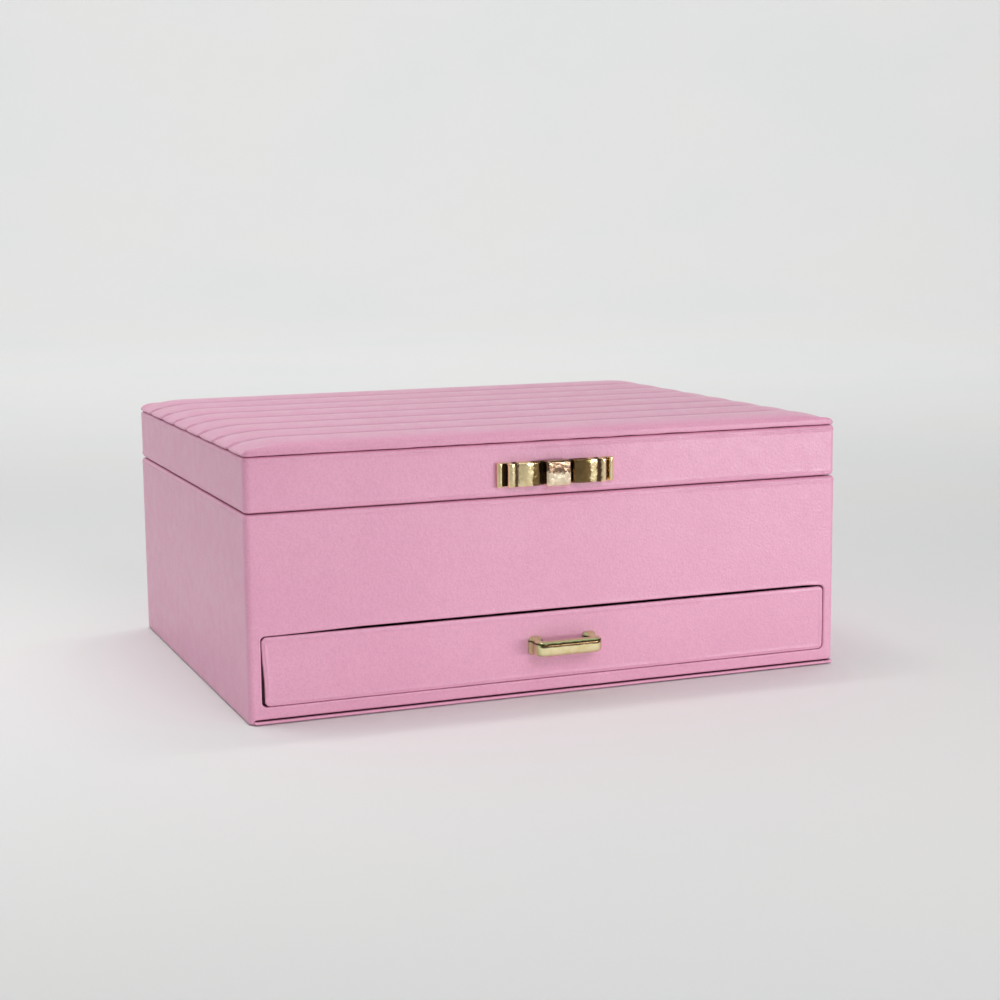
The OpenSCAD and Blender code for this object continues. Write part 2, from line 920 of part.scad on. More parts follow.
drawer_side(1);  // drawer_right_side
drawer_back();
drawer_bottom();
drawer_liner();
drawer_long_divider();
drawer_short_dividers();
drawer_handle();
handle_screws();
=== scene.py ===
"""Looks of the jewellery chest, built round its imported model.

Shapes are worked out in millimetres in the model's own frame, and mesh_object() turns them into metres.
"""

import json
import math

import bmesh
import bpy
from mathutils import Matrix, Vector, noise


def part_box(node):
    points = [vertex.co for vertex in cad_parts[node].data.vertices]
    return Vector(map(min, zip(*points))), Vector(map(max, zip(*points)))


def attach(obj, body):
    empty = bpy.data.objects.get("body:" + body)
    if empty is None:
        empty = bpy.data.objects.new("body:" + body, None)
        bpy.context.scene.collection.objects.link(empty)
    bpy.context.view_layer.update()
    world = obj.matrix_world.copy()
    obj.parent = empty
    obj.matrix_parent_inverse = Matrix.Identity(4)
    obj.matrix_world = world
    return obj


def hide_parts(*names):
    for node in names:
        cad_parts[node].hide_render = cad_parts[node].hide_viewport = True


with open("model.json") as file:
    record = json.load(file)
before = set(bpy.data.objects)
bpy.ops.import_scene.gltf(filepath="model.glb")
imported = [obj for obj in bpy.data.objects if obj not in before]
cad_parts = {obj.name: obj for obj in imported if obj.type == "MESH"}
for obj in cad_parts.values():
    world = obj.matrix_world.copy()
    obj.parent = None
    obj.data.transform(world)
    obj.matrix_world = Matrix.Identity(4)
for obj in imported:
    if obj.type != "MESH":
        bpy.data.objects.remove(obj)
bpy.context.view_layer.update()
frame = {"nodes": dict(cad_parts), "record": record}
MM = 0.001


def box_mm(node):
    """Lowest and highest corner of a CAD node, in millimetres."""
    low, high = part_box(node)
    return low / MM, high / MM


# Sizes that come from the frame
CASE_LOW, CASE_HIGH = box_mm("case_wrap")
LID_LOW, LID_HIGH = box_mm("lid_wrap")
PAD_LOW, PAD_HIGH = box_mm("quilted_cover")
FRONT_LOW, FRONT_HIGH = box_mm("drawer_front_wrap")
BASE_LOW, BASE_HIGH = box_mm("base_board")
BOW_LOW, BOW_HIGH = box_mm("bow_ornament")
HANDLE_LOW, HANDLE_HIGH = box_mm("drawer_handle")
BOARD_LOW, BOARD_HIGH = box_mm("front_panel")

HALF_W = CASE_HIGH.x
HALF_D = CASE_HIGH.y
RIM_Z = CASE_HIGH.z
LID_Z = LID_LOW.z
LID_TOP = LID_HIGH.z
WALL = HALF_D + BOARD_HIGH.y
LID_WALL = HALF_D + box_mm("lid_front_board")[1].y

# Sizes of the finish
CORNER_R = 2.5
RIM_R = 1.25
ARC = 8
HOLE_GAP = 0.3
HOLE_R = 2.1
HOLE_HALF = FRONT_HIGH.x + HOLE_GAP
HOLE_LOW = FRONT_LOW.z - 0.2
HOLE_TOP = FRONT_HIGH.z + 1.05
LIP_LOWERED = 0.9
LIP_TOP = BASE_HIGH.z - LIP_LOWERED
BASE_GAP = 0.5
COVER_T = 0.6


# ---- Meshes ----

def spread(first, last, steps):
    """Evenly spaced numbers from first to last, both included."""
    return [first + (last - first) * i / steps for i in range(steps + 1)]


def join(*runs):
    """Runs of numbers end to end, without the repeated ends."""
    joined = list(runs[0])
    for run in runs[1:]:
        joined.extend(run[1:])
    return joined


def smooth_step(t):
    """0 up to 0, 1 from 1 on, and an even curve between them."""
    t = min(1.0, max(0.0, t))
    return t * t * (3 - 2 * t)


def wobble(x, y, z, size, seed=0.0):
    """Smooth noise from about -1 to 1, with features of a size in millimetres."""
    return noise.noise(Vector((x, y, z)) / size + Vector((seed, 2.7 * seed, -1.9 * seed)))


class Skin:
    """Points in millimetres and faces, collected loop by loop."""

    def __init__(self):
        self.points = []
        self.faces = []

    def loop(self, points):
        """Adds points and gives their numbers."""
        start = len(self.points)
        self.points.extend(points)
        return list(range(start, len(self.points)))

    def bridge(self, low, high, closed=True, skip=()):
        """Faces between two loops of the same length."""
        count = len(low)
        for i in range(count if closed else count - 1):
            if i not in skip:
                j = (i + 1) % count
                self.faces.append((low[i], low[j], high[j], high[i]))

    def stack(self, loops, closed=True):
        """Faces between each loop and the next."""
        for low, high in zip(loops, loops[1:]):
            self.bridge(low, high, closed)

    def patch(self, loop, columns, rows, first=0, turn=False):
        """Fills a loop of 2 * (columns + rows) points with a grid that follows its outline."""
        ring = loop[first:] + loop[:first]
        at = [Vector(self.points[i]) for i in ring]
        right = columns + rows
        top = columns + rows + columns
        grid = []
        for r in range(rows + 1):
            line = []
            for c in range(columns + 1):
                if r == 0:
                    line.append(ring[c])
                elif r == rows:
                    line.append(ring[top - c])
                elif c == 0:
                    line.append(ring[len(ring) - r])
                elif c == columns:
                    line.append(ring[columns + r])
                else:
                    u = c / columns
                    v = r / rows
                    edges = (at[c] * (1 - v) + at[top - c] * v
                             + at[len(ring) - r] * (1 - u) + at[columns + r] * u)
                    corners = (at[0] * (1 - u) * (1 - v) + at[columns] * u * (1 - v)
                               + at[right] * u * v + at[top] * (1 - u) * v)
                    line.extend(self.loop([tuple(edges - corners)]))
            grid.append(line)
        for low, high in zip(grid, grid[1:]):
            if turn:
                self.bridge(high, low, closed=False)
            else:
                self.bridge(low, high, closed=False)
        return grid


def mesh_object(name, skin, material):
    """An object in metres from a skin in millimetres."""
    mesh = bpy.data.meshes.new(name)
    mesh.from_pydata([Vector(p) * MM for p in skin.points], [], skin.faces)
    mesh.validate()
    mesh.polygons.foreach_set("use_smooth", [True] * len(mesh.polygons))
    mesh.materials.append(material)
    piece = bpy.data.objects.new(name, mesh)
    bpy.context.scene.collection.objects.link(piece)
    return piece


def apply_modifiers(piece):
    """Puts a piece's modifiers into its mesh."""
    depsgraph = bpy.context.evaluated_depsgraph_get()
    baked = bpy.data.meshes.new_from_object(piece.evaluated_get(depsgraph))
    piece.modifiers.clear()
    old = piece.data
    piece.data = baked
    bpy.data.meshes.remove(old)
    return piece


def thicken(piece, thickness):
    """Gives an open skin a closed thickness, inwards."""
    solid = piece.modifiers.new("thickness", "SOLIDIFY")
    solid.thickness = thickness * MM
    solid.offset = -1
    return apply_modifiers(piece)


def subdivide(piece):
    """One smooth subdivision."""
    fine = piece.modifiers.new("fine", "SUBSURF")
    fine.levels = 1
    fine.render_levels = 1
    return apply_modifiers(piece)


def finish(piece, body, slot, *nodes):
    """Hangs a piece on the body that it rides on and hides the CAD nodes that it stands for. slot is not
    used.
    """
    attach(piece, body)
    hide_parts(*nodes)
    return piece


def outline(half_u, half_v, radius, u_stations, v_stations):
    """Points and outward normals round a rounded rectangle, anticlockwise from its lower side's
    left end. Stations run from -1 to 1 along the straight stretches."""
    straight_u = half_u - radius
    straight_v = half_v - radius
    corners = [(straight_u, -straight_v, -90), (straight_u, straight_v, 0),
               (-straight_u, straight_v, 90), (-straight_u, -straight_v, 180)]
    sides = [
        [((s * straight_u, -half_v), (0, -1)) for s in u_stations],
        [((half_u, s * straight_v), (1, 0)) for s in v_stations],
        [((-s * straight_u, half_v), (0, 1)) for s in u_stations],
        [((-half_u, -s * straight_v), (-1, 0)) for s in v_stations],
    ]
    result = []
    for side, (cu, cv, start) in zip(sides, corners):
        result.extend(side)
        for step in range(1, ARC):
            angle = math.radians(start + 90 * step / ARC)
            n = (math.cos(angle), math.sin(angle))
            result.append(((cu + radius * n[0], cv + radius * n[1]), n))
    return result


def roll(radius, steps):
    """Inset and rise along an arc that turns from a wall to a top."""
    angles = [math.radians(a) for a in spread(0, 90, steps)]
    return [(radius * (1 - math.cos(a)), radius * math.sin(a)) for a in angles]


# ---- Leatherette covers ----

# Stations round the case: a few millimetres apart, and lined up with the drawer opening's corners
HOLE_STRAIGHT = HOLE_HALF - HOLE_R
FRONT_STEPS = 176
SIDE_STEPS = 120
STRAIGHT_X = HALF_W - CORNER_R
X_MARKS = join(
    spread(-STRAIGHT_X, -HOLE_STRAIGHT, ARC // 2),
    spread(-HOLE_STRAIGHT, HOLE_STRAIGHT, FRONT_STEPS),
    spread(HOLE_STRAIGHT, STRAIGHT_X, ARC // 2))
X_STATIONS = [x / STRAIGHT_X for x in X_MARKS]
Y_STATIONS = spread(-1, 1, SIDE_STEPS)
HOLE_X_STATIONS = spread(-1, 1, FRONT_STEPS)
HOLE_Z_STEPS = 12
HOLE_Z_STATIONS = spread(-1, 1, HOLE_Z_STEPS)
CREASE_DOWN = 1.65
HOLE_ROLL = 0.35


def crease(x, y, z):
    """How far the leatherette stands up where it was pulled tight beside an edge."""
    patchy = smooth_step(0.5 + 1.2 * wobble(x, y, z, 19, 3.1))
    return 0.06 + 0.3 * patchy * (0.7 + 0.8 * wobble(x, y, z, 2.3, 1.3))


def wall_loop(skin, inset, z, ridge=0.0, half=(HALF_W, HALF_D), centre=(0.0, 0.0),
              left_drop=0.0, left_tuck=0.0):
    """One level of a covered wall. A ridge of 1 is the crest of a crease. The left side can be let
    down and tucked in, where the covering runs on over the base."""
    points = []
    for (x, y), (nx, ny) in outline(half[0] - inset, half[1] - inset, max(CORNER_R - inset, 0.3),
                                    X_STATIONS, Y_STATIONS):
        push = ridge * crease(x, y, z) + 0.05 * wobble(x, y, z, 38, 5.0)
        drift = 0.22 * ridge * wobble(x, y, 0, 9, 7.7) + 0.05 * wobble(x, y, 0, 14, 2.2)
        left = smooth_step((-nx - 0.1) / 0.6)
        push -= left_tuck * left
        drift -= left_drop * left
        points.append((x + nx * push + centre[0], y + ny * push + centre[1], z + drift))
    return skin.loop(points)


def creased(z, toward):
    """Levels that rise to a crease beside an edge at z, in order upwards. toward is 1 for an edge above."""
    levels = [(0.0, z - toward * (CREASE_DOWN + 0.9), 0.0),
              (0.0, z - toward * (CREASE_DOWN + 0.35), 0.6),
              (0.0, z - toward * CREASE_DOWN, 1.0),
              (0.05, z - toward * (CREASE_DOWN - 0.22), 0.15)]
    return levels if toward > 0 else levels[::-1]


def hole_loop(skin, grow, y, ridge=0.0):
    """One loop round the drawer opening, grown by a margin, at a depth. The top edge sags at its ends."""
    middle = (HOLE_LOW + HOLE_TOP) / 2
    half_h = (HOLE_TOP - HOLE_LOW) / 2
    points = []
    for (x, v), (nx, nz) in outline(HOLE_HALF + grow, half_h + grow, HOLE_R + grow,
                                    HOLE_X_STATIONS, HOLE_Z_STATIONS):
        left_end = smooth_step((-x - HOLE_HALF + 45) / 45)
        right_end = smooth_step((x - HOLE_HALF + 10) / 10)
        sag = -(0.65 * left_end + 0.45 * right_end) * max(0.0, nz) + 0.07 * wobble(x, 0, v, 16, 9.0)
        out = ridge * crease(x, y, v)
        points.append((x, y - out, middle + v + sag))
    return skin.loop(points)


def case_cover(material):
    """Leatherette over the four walls, turned over the rim and into the drawer opening."""
    window = join(spread(LIP_TOP + 1.5, HOLE_LOW + HOLE_R, ARC // 2),
                  spread(HOLE_LOW + HOLE_R, HOLE_TOP - HOLE_R, HOLE_Z_STEPS),
                  spread(HOLE_TOP - HOLE_R, HOLE_TOP + 3.4, ARC // 2))
    above = spread(window[-1], RIM_Z - CREASE_DOWN - 1.6, 16)[1:]
    bottom = LIP_TOP + BASE_GAP
    levels = [(WALL, bottom, 0), (0.9, bottom, 0), (0.3, bottom + 0.04, 0), (0.08, bottom + 0.16, 0),
              (0.0, bottom + 0.4, 0)]
    window_low = len(levels)
    levels += [(0.0, z, 0) for z in window]
    window_high = len(levels) - 1
    levels += [(0.0, z, 0) for z in above]
    levels += creased(RIM_Z, 1)
    levels += [(inset, RIM_Z - RIM_R + rise, 0) for inset, rise in roll(RIM_R, 6)]
    levels += [(2.6, RIM_Z, 0), (WALL - 0.6, RIM_Z - 0.03, 0), (WALL - 0.15, RIM_Z - 0.2, 0),
               (WALL, RIM_Z - 0.6, 0), (WALL, RIM_Z - 3, 0)]
    skin = Skin()
    loops = [wall_loop(skin, *level, left_drop=LIP_TOP if k < window_low else 0.0)
             for k, level in enumerate(levels)]
    front = range(len(X_STATIONS) - 1)
    for k, (low, high) in enumerate(zip(loops, loops[1:])):
        skin.bridge(low, high, skip=front if window_low <= k < window_high else ())
    # The rim of the window in the front wall, round which the drawer opening's loops are laid
    last = len(X_STATIONS) - 1
    rim = loops[window_low][:last + 1]
    rim += [loops[k][last] for k in range(window_low + 1, window_high + 1)]
    rim += loops[window_high][:last][::-1]
    rim += [loops[k][0] for k in range(window_high - 1, window_low, -1)]
    rim = rim[ARC // 2:] + rim[:ARC // 2]
    face = -HALF_D
    rings = [rim]
    rings += [hole_loop(skin, grow, face, ridge)
              for grow, ridge in [(1.5, 0), (0.9, 0.2), (0.6, 0.5), (HOLE_ROLL + 0.05, 0.3)]]
    rings += [hole_loop(skin, HOLE_ROLL - rise, face + inset) for inset, rise in roll(HOLE_ROLL, 4)]
    rings += [hole_loop(skin, 0, face + depth) for depth in (0.9, 2.2, WALL)]
    skin.stack(rings)
    piece = mesh_object("case_cover", skin, material)
    thicken(piece, COVER_T)
    return finish(piece, "case", "leatherette", "case_wrap")


LID_HALF = (HALF_W - 0.35, HALF_D)
LID_CENTRE = (-0.15, 0.0)


def lid_cover(material):
    """Leatherette round the lid's band, turned under its rim and in under the quilted panel."""
    levels = [(LID_WALL, LID_Z + 3, 0), (LID_WALL, LID_Z + 0.6, 0), (LID_WALL - 0.15, LID_Z + 0.2, 0),
              (LID_WALL - 0.6, LID_Z + 0.03, 0), (2.3, LID_Z, 0)]
    levels += [(inset, LID_Z + RIM_R - rise, 0) for inset, rise in roll(RIM_R, 6)[::-1]]
    levels += creased(LID_Z, -1)
    levels += [(0.0, z, 0) for z in spread(LID_Z + CREASE_DOWN + 1.6, LID_TOP - CREASE_DOWN - 1.4, 8)]
    levels += creased(LID_TOP, 1)
    levels += [(inset, LID_TOP - RIM_R + rise, 0) for inset, rise in roll(RIM_R, 6)]
    levels += [(3, LID_TOP, 0), (9, LID_TOP, 0)]
    skin = Skin()
    skin.stack([wall_loop(skin, *level, half=LID_HALF, centre=LID_CENTRE) for level in levels])
    piece = mesh_object("lid_cover", skin, material)
    thicken(piece, COVER_T)
    return finish(piece, "lid", "leatherette", "lid_wrap")


FRONT_LEAN = 0.95
FRONT_LEAN_WIDTH = 14.0


def front_loop(skin, inset, y, ridge=0.0):
    """One loop round the drawer's front. Its left side leans in towards the bottom."""
    middle = (FRONT_LOW.z + FRONT_HIGH.z) / 2
    half_h = (FRONT_HIGH.z - FRONT_LOW.z) / 2
    points = []
    for (x, v), (nx, nz) in outline(FRONT_HIGH.x - inset, half_h - inset, max(HOLE_R - inset, 0.3),
                                    HOLE_X_STATIONS, HOLE_Z_STATIONS):
        down = smooth_step(0.6 - v / (1.6 * half_h))
        near_left = 1 - smooth_step((x + FRONT_HIGH.x) / FRONT_LEAN_WIDTH)
        lean = FRONT_LEAN * down * near_left + 0.12 * abs(nx) * wobble(x, 0, v, 9, 6.6)
        out = ridge * crease(x, y, v + 40)
        lift = 0.06 * wobble(x, 0, v, 18, 4.0)
        points.append((x + lean, y - out, middle + v + lift))
    return skin.loop(points)


def drawer_front_cover(material):
    """The drawer's covered front, a closed slab with rolled edges."""
    face = FRONT_LOW.y
    edge = 0.55
    rings = [(1.6, FRONT_HIGH.y, 0), (1.4, FRONT_HIGH.y - 0.6, 0), (0.2, face + 1.3, 0),
             (0.0, face + 0.9, 0)]
    rings += [(inset, face + edge - rise, 0) for inset, rise in roll(edge, 6)]
    rings += [(1.0, face, 0.15), (1.2, face, 1.0), (1.5, face, 0.6), (2.0, face, 0), (2.6, face, 0)]
    skin = Skin()
    loops = [front_loop(skin, *ring) for ring in rings]
    skin.stack(loops)
    columns = FRONT_STEPS + ARC
    rows = HOLE_Z_STEPS + ARC
    skin.patch(loops[-1], columns, rows, first=-(ARC // 2))
    skin.patch(loops[0], columns, rows, first=-(ARC // 2), turn=True)
    piece = mesh_object("drawer_front_cover", skin, material)
    return finish(piece, "drawer", "leatherette", "drawer_front_wrap", "drawer_front_board")


def base_cover(material):
    """The covered base board, whose lip shows under the front. Behind the lip its top steps down, so
    that the gap under the case stays dark."""
    half = (BASE_HIGH.x, (BASE_HIGH.y - BASE_LOW.y) / 2)
    centre = (BASE_HIGH.y + BASE_LOW.y) / 2
    edge = 0.3
    shoulder = 0.3
    lip_depth = 1.25
    low = BASE_LOW.z + 0.1
    levels = [(3.0, BASE_LOW.z), (edge + 0.4, low)]
    levels += [(inset, low + edge - rise) for inset, rise in roll(edge, 4)[::-1]]
    levels += [(inset, LIP_TOP - shoulder + rise) for inset, rise in roll(shoulder, 5)]
    levels += [(lip_depth, LIP_TOP), (lip_depth + 0.35, LIP_TOP - 0.5), (3.0, LIP_TOP - 0.8)]
    skin = Skin()
    loops = [wall_loop(skin, inset, z, half=half, centre=(0.0, centre), left_tuck=0.9)
             for inset, z in levels]
    skin.stack(loops)
    columns = len(X_STATIONS) - 1 + ARC
    rows = SIDE_STEPS + ARC
    skin.patch(loops[-1], columns, rows, first=-(ARC // 2))
    skin.patch(loops[0], columns, rows, first=-(ARC // 2), turn=True)
    piece = mesh_object("base_cover", skin, material)
    return finish(piece, "case", "leatherette", "base_board")


# ---- Quilted panel ----

CHANNELS = 8
SEAM_Z = LID_TOP + 3.2
EDGE_Z = LID_TOP + 1.1
END_ROLL = 19.0
SEAM_ROLL = 3.5
RIDGE_IN = 1.3
PAD_HALF = (PAD_HIGH.x - 0.7, PAD_HIGH.y)
PAD_SHIFT = -0.4
FULLNESS = 0.88
STUFF_FRAMES = 16
STUFF_LIMIT = 0.9
STUFF_ROUNDS = 4


def quilt_rows():
    """Rows across the panel from front to back: place, height on the crown line, and 1 on a seam."""
    half = PAD_HALF[1]
    edge = [(-half, EDGE_Z, 1), (-half - 0.05, EDGE_Z + 0.9, 1), (-half + 0.02, SEAM_Z - 0.6, 1),
            (-half + 0.3, SEAM_Z + 0.15, 1), (-half + 0.7, SEAM_Z + 0.42, 1),
            (-half + RIDGE_IN, SEAM_Z + 0.2, 1)]
    near = -half + RIDGE_IN + 0.35
    pitch = 2 * half / CHANNELS
    shares = [0.0, 0.015, 0.04, 0.08, 0.14, 0.22, 0.32, 0.44, 0.56, 0.68, 0.78, 0.86, 0.92, 0.96, 0.985]
    rows = list(edge)
    for channel in range(CHANNELS):
        start = near if channel == 0 else -half + channel * pitch
        stop = -near if channel == CHANNELS - 1 else -half + (channel + 1) * pitch
        for share in shares:
            arc = (4 * share * (1 - share)) ** 0.5
            rows.append((start + (stop - start) * share, SEAM_Z + (PAD_HIGH.z - SEAM_Z) * arc,
                         1 if share == 0 else 0))
    rows.append((-near, SEAM_Z, 1))
    rows += [(-y, z, pin) for y, z, pin in edge[::-1]]
    return rows


def quilt_columns():
    """Stations along the channels, close together where they roll over the ends."""
    half = PAD_HALF[0]
    end = [0, 0.15, 0.5, 1.0, 1.7, 2.6, 3.8, 5.2, 7.0, 9.0, 11.5, 15.0, END_ROLL]
    middle = spread(-half + END_ROLL, half - END_ROLL, 90)
    return [-half + e for e in end] + middle[1:-1] + [half - e for e in end[::-1]]


def rounded_corner(x, y, radius):
    """Pulls a point of a square corner in to a round one."""
    half = PAD_HALF
    a = (abs(x) - half[0] + radius) / radius
    b = (abs(y) - half[1] + radius) / radius
    if a <= 0 or b <= 0:
        return x, y
    a, b = min(a, 1.0), min(b, 1.0)
    pulled = (a * math.sqrt(1 - b * b / 2), b * math.sqrt(1 - a * a / 2))
    return (math.copysign(half[0] - radius + radius * pulled[0], x),
            math.copysign(half[1] - radius + radius * pulled[1], y))


def quilt_skin(fullness):
    """The panel's closed skin, with its channels stuffed to a share of their full height, and the
    points that the stitching and the board hold."""
    rows = quilt_rows()
    columns = quilt_columns()
    skin = Skin()
    grid = []
    held = []
    for y, z, pin in rows:
        line = []
        puff = (z - SEAM_Z) / (PAD_HIGH.z - SEAM_Z)
        top = z if puff <= 0.12 else SEAM_Z + (z - SEAM_Z) * fullness
        for x in columns:
            length = SEAM_ROLL + (END_ROLL - SEAM_ROLL) * min(1.0, max(0.0, 2 * puff))
            end = min(1.0, (PAD_HALF[0] - abs(x)) / length)
            fall = (1 - (1 - end) ** 2) ** 0.72
            pull = 0.75 * (1 - max(0.0, puff)) * (1 - end) ** 2 if abs(y) < PAD_HALF[1] - 3 else 0.2
            px, py = rounded_corner(x, y, CORNER_R)
            px -= math.copysign(pull * (1 - end), x)
            line.append((px + PAD_SHIFT, py, EDGE_Z + (top - EDGE_Z) * fall))
        grid.append(skin.loop(line))
        held.extend(grid[-1] if pin else [grid[-1][0], grid[-1][1], grid[-1][-2], grid[-1][-1]])
    skin.stack(grid, closed=False)
    border = grid[0] + [line[-1] for line in grid[1:]] + grid[-1][:-1][::-1]
    border += [line[0] for line in grid[-2:0:-1]]
    loops = [border]
    for inset, z in [(0.0, EDGE_Z - 0.4), (0.15, LID_TOP + 0.5), (0.6, LID_TOP + 0.33),
                     (1.6, LID_TOP + 0.3), (4.0, LID_TOP + 0.3)]:
        points = []
        for i in border:
            x, y, _ = skin.points[i]
            uneven = 0.16 * wobble(x, y, 0, 7, 6.1) + 0.08 * wobble(x, y, 0, 2.3, 8.4)
            shrink = Vector((1 - inset / PAD_HALF[0], 1 - inset / PAD_HALF[1]))
            points.append((x * shrink.x, y * shrink.y, z + uneven * (z < EDGE_Z - 0.5)))
        loops.append(skin.loop(points))
    for outer, inner in zip(loops, loops[1:]):
        skin.bridge(inner, outer)
    held.extend(i for loop in loops for i in loop)
    bottom = skin.patch(loops[-1], len(columns) - 1, len(rows) - 1, turn=True)
    held.extend(i for line in bottom for i in line)
    return skin, sorted(set(held))


def even_out(mesh, values, rounds):
    """Averages a value of each vertex with its neighbours', some rounds long."""
    for _ in range(rounds):
        total = list(values)
        count = [1] * len(values)
        for edge in mesh.edges:
            a, b = edge.vertices
            total[a] += values[b]
            total[b] += values[a]
            count[a] += 1
            count[b] += 1
        values = [t / c for t, c in zip(total, count)]
    return values


def stuff(piece, held):
    """Blows a held skin up like stuffing, with Blender's cloth. Only its rise is kept, evened out
    and capped, so that the covering stays free of small folds."""
    group = piece.vertex_groups.new(name="held")
    group.add(held, 1.0, "REPLACE")
    start = [v.co.copy() for v in piece.data.vertices]
    cloth = piece.modifiers.new("stuffing", "CLOTH")
    settings = cloth.settings
    settings.quality = 6
    settings.mass = 0.15
    settings.tension_stiffness = 20
    settings.compression_stiffness = 20
    settings.shear_stiffness = 8
    settings.bending_stiffness = 0.3
    settings.vertex_group_mass = "held"
    settings.shrink_min = -0.02
    settings.use_pressure = True
    settings.uniform_pressure_force = 4
    settings.effector_weights.gravity = 0
    cloth.collision_settings.use_collision = False
    scene = bpy.context.scene
    scene.frame_start = 1
    scene.frame_end = STUFF_FRAMES
    cloth.point_cache.frame_start = 1
    cloth.point_cache.frame_end = STUFF_FRAMES
    for number in range(1, STUFF_FRAMES + 1):
        scene.frame_set(number)
    apply_modifiers(piece)
    rises = [vertex.co.z - origin.z for vertex, origin in zip(piece.data.vertices, start)]
    rises = even_out(piece.data, rises, STUFF_ROUNDS)
    limit = STUFF_LIMIT * MM
    for vertex, origin, rise in zip(piece.data.vertices, start, rises):
        vertex.co = origin + Vector((0, 0, max(-limit, min(limit, rise))))
    scene.frame_set(1)
    return piece


def quilted_panel(material):
    """Leatherette stuffed in straight channels, over the board and foam of the lid's panel."""
    skin, held = quilt_skin(FULLNESS)
    piece = mesh_object("quilted_panel", skin, material)
    stuff(piece, held)
    subdivide(piece)
    finish(piece, "lid", "quilted_leatherette", "quilted_cover", "pad_foam", "pad_board")
    return piece


# ---- Gilt fittings ----

def smooth_path(points, step):
    """A rounded path through points, with stations about a step apart."""
    padded = [points[0] * 2 - points[1]] + points + [points[-1] * 2 - points[-2]]
    path = [points[0]]
    for a, b, c, d in zip(padded, padded[1:], padded[2:], padded[3:]):
        count = max(1, round((c - b).length / step))
        for i in range(1, count + 1):
            t = i / count
            path.append(0.5 * (b * 2 + (c - a) * t + (a * 2 - b * 5 + c * 4 - d) * t * t
                               + (b * 3 - a - c * 3 + d) * t * t * t))
    return path


def section(thickness, width, edge):
    """A rounded cross-section, across the path and along Z."""
    corner = min(edge, thickness / 2 - 0.01, width / 2 - 0.01)
    points = []
    for u, v, start in [(1, -1, -90), (1, 1, 0), (-1, 1, 90), (-1, -1, 180)]:
        for angle in spread(start, start + 90, 5):
            a = math.radians(angle)
            points.append((u * (thickness / 2 - corner) + corner * math.cos(a),
                           v * (width / 2 - corner) + corner * math.sin(a)))
    return points


def swept(skin, path, size_at, edge, face_y, centre_z):
    """A bar or ribbon along a path given in X and in height off a face. size_at gives its thickness
    and width at each station."""
    loops = []
    for i, point in enumerate(path):
        ahead = path[min(i + 1, len(path) - 1)] - path[max(i - 1, 0)]
        across = Vector((-ahead.y, ahead.x)).normalized()
        thickness, width = size_at(point)
        loops.append(skin.loop([
            (point.x + across.x * u, face_y - point.y - across.y * u, centre_z + v)
            for u, v in section(thickness, width, edge)]))
    skin.stack(loops)
    skin.faces.append(tuple(loops[0][::-1]))
    skin.faces.append(tuple(loops[-1]))


def soften(piece):
    """Even normals and one subdivision for a cast or rolled piece."""
    work = bmesh.new()
    work.from_mesh(piece.data)
    bmesh.ops.recalc_face_normals(work, faces=work.faces)
    work.to_mesh(piece.data)
    work.free()
    return subdivide(piece)


BOW_X = (BOW_LOW.x + BOW_HIGH.x) / 2
BOW_Z = (BOW_LOW.z + BOW_HIGH.z) / 2
BAND_Y = LID_LOW.y
STRAP_W = 9.5
LOOP_W = 9.1
RIBBON_T = 0.75
FOLD_VALLEY = 17.0


def ribbon_piece(name, points, width, material, mirrored=False):
    """One ribbon of the bow, along points in X and in height off the band."""
    side = -1 if mirrored else 1
    path = smooth_path([Vector((BOW_X + side * x, h)) for x, h in points], 0.45)
    skin = Skin()
    swept(skin, path, lambda p: (RIBBON_T, width), 0.3, BAND_Y, BOW_Z)
    piece = soften(mesh_object(name, skin, material))
    return finish(piece, "lid", "gold_plate", "bow_ornament")


def bow_knot(material):
    """The bow's square knot, with rounded edges and a little fuller towards its top."""
    skin = Skin()
    half_x = 5.2
    half_z = (BOW_HIGH.z - BOW_LOW.z) / 2
    rise = BAND_Y - BOW_LOW.y
    edge = 0.9
    side_steps = 8
    stations = spread(-1, 1, side_steps)
    levels = [(0.6, 0.1), (0.0, 0.7), (0.0, rise - edge - 0.15)]
    levels += [(inset, rise - edge - 0.15 + up) for inset, up in roll(edge, 5)[1:]]
    loops = []
    for inset, height in levels:
        loops.append(skin.loop([(BOW_X + x, BAND_Y - height, BOW_Z + v) for (x, v), _ in outline(
            half_x - inset, half_z - inset, 1.0, stations, stations)]))
    skin.stack(loops)
    first = -(ARC // 2)
    cells = side_steps + ARC
    skin.patch(loops[-1], cells, cells, first=first)
    skin.patch(loops[0], cells, cells, first=first, turn=True)
    for i, (x, y, z) in enumerate(skin.points):
        above = max(0.0, (z - BOW_Z) / half_z + 0.1)
        skin.points[i] = (x, y + 0.1 * above ** 2 * (BAND_Y - y) / rise, z)
    piece = soften(mesh_object("bow_knot", skin, material))
    return finish(piece, "lid", "gold_plate", "bow_ornament")


